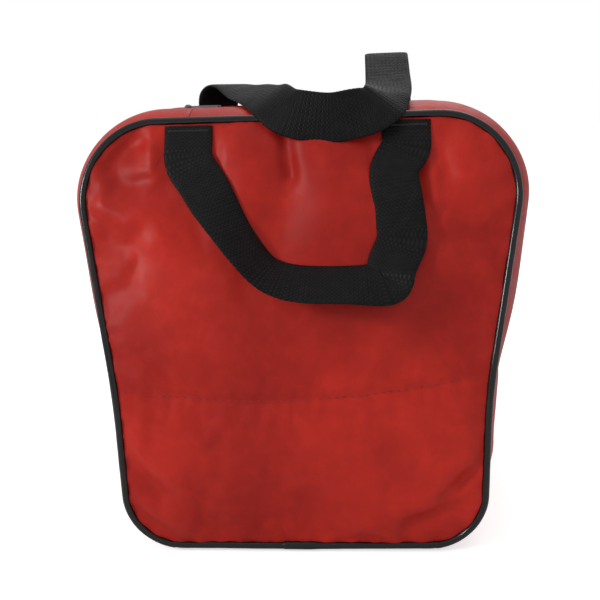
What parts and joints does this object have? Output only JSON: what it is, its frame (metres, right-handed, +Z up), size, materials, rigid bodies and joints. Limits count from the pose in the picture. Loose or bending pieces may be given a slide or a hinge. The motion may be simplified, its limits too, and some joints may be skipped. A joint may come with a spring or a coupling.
{
  "type": "bowling ball bag",
  "caption": "Soft upright one-ball bag with piped front and rear panels, a gusset between them, a zip along the top and two webbing loop handles.",
  "frame": {"origin": "centre of the base, on the surface that the bag stands on", "axes": "+Z up, -Y towards the front panel, +X to the right seen from the front"},
  "size_m": [0.3222, 0.2476, 0.3301],
  "materials": {
    "red_cloth": "coated nylon with a soft satin sheen",
    "piping": "glossy black vinyl bead",
    "binding_tape": "woven seam tape",
    "foam": "grey closed-cell foam",
    "lining": "thin coated nylon",
    "board": "polypropylene sheet",
    "zip_tape": "woven polyester tape",
    "zip_teeth": "moulded acetal",
    "zip_metal": "black enamelled zinc",
    "webbing": "ribbed polypropylene webbing",
    "thread": "bonded polyester thread"
  },
  "bodies": {
    "root": {"front_panel": "red_cloth", "rear_panel": "red_cloth", "base_panel": "red_cloth", "left_gusset": "red_cloth", "right_gusset": "red_cloth", "front_left_band": "red_cloth", "front_right_band": "red_cloth", "rear_left_band": "red_cloth", "rear_right_band": "red_cloth", "front_piping": "piping", "rear_piping": "piping", "front_seam_binding": "binding_tape", "rear_seam_binding": "binding_tape", "front_foam_pad": "foam", "rear_foam_pad": "foam", "front_pocket_lining": "lining", "rear_pocket_lining": "lining", "base_board": "board", "base_foam": "foam", "ball_cup": "foam", "left_zip_end_tape": "zip_tape", "right_zip_end_tape": "zip_tape", "left_zip_end_teeth": "zip_teeth", "right_zip_end_teeth": "zip_teeth", "zip_end_stops": "zip_metal", "zip_end_tabs": "red_cloth", "front_handle_left_end": "webbing", "front_handle_right_end": "webbing", "rear_handle_left_end": "webbing", "rear_handle_right_end": "webbing", "front_handle_bartacks": "thread", "rear_handle_bartacks": "thread", "front_waist_stitches": "thread", "rear_waist_stitches": "thread"},
    "front_top_flap": {"front_top_flap": "red_cloth", "front_zip_tape": "zip_tape", "front_zip_teeth": "zip_teeth"},
    "rear_top_flap": {"rear_top_flap": "red_cloth", "rear_zip_tape": "zip_tape", "rear_zip_teeth": "zip_teeth"},
    "zip_slider": {"zip_slider": "zip_metal"},
    "zip_pull": {"zip_pull": "zip_metal"},
    "front_handle": {"front_handle": "webbing"},
    "rear_handle": {"rear_handle": "webbing"}
  },
  "joints": [
    {"name": "front_handle_swing", "type": "hinge", "parent": "root", "child": "front_handle", "pos_m": [0, -0.07011, 0.271], "axis": [-1, 0, 0], "range_deg": [0, 120]},
    {"name": "rear_handle_swing", "type": "hinge", "parent": "root", "child": "rear_handle", "pos_m": [0, 0.07011, 0.271], "axis": [-1, 0, 0], "range_deg": [0, 160]},
    {"name": "zip_slide", "type": "slide", "parent": "root", "child": "zip_slider", "axis": [1, 0, 0], "range_m": [0, 0.166]},
    {"name": "zip_pull_swing", "type": "hinge", "parent": "zip_slider", "child": "zip_pull", "pos_m": [-0.083, 0, 0.29568], "axis": [0, -1, 0], "range_deg": [0, 165]},
    {"name": "front_flap_fold", "type": "hinge", "parent": "root", "child": "front_top_flap", "pos_m": [0, -0.0568, 0.28863], "axis": [-1, 0, 0], "range_deg": [0, 70]},
    {"name": "rear_flap_fold", "type": "hinge", "parent": "root", "child": "rear_top_flap", "pos_m": [0, 0.0568, 0.28863], "axis": [1, 0, 0], "range_deg": [0, 70]}
  ]
}
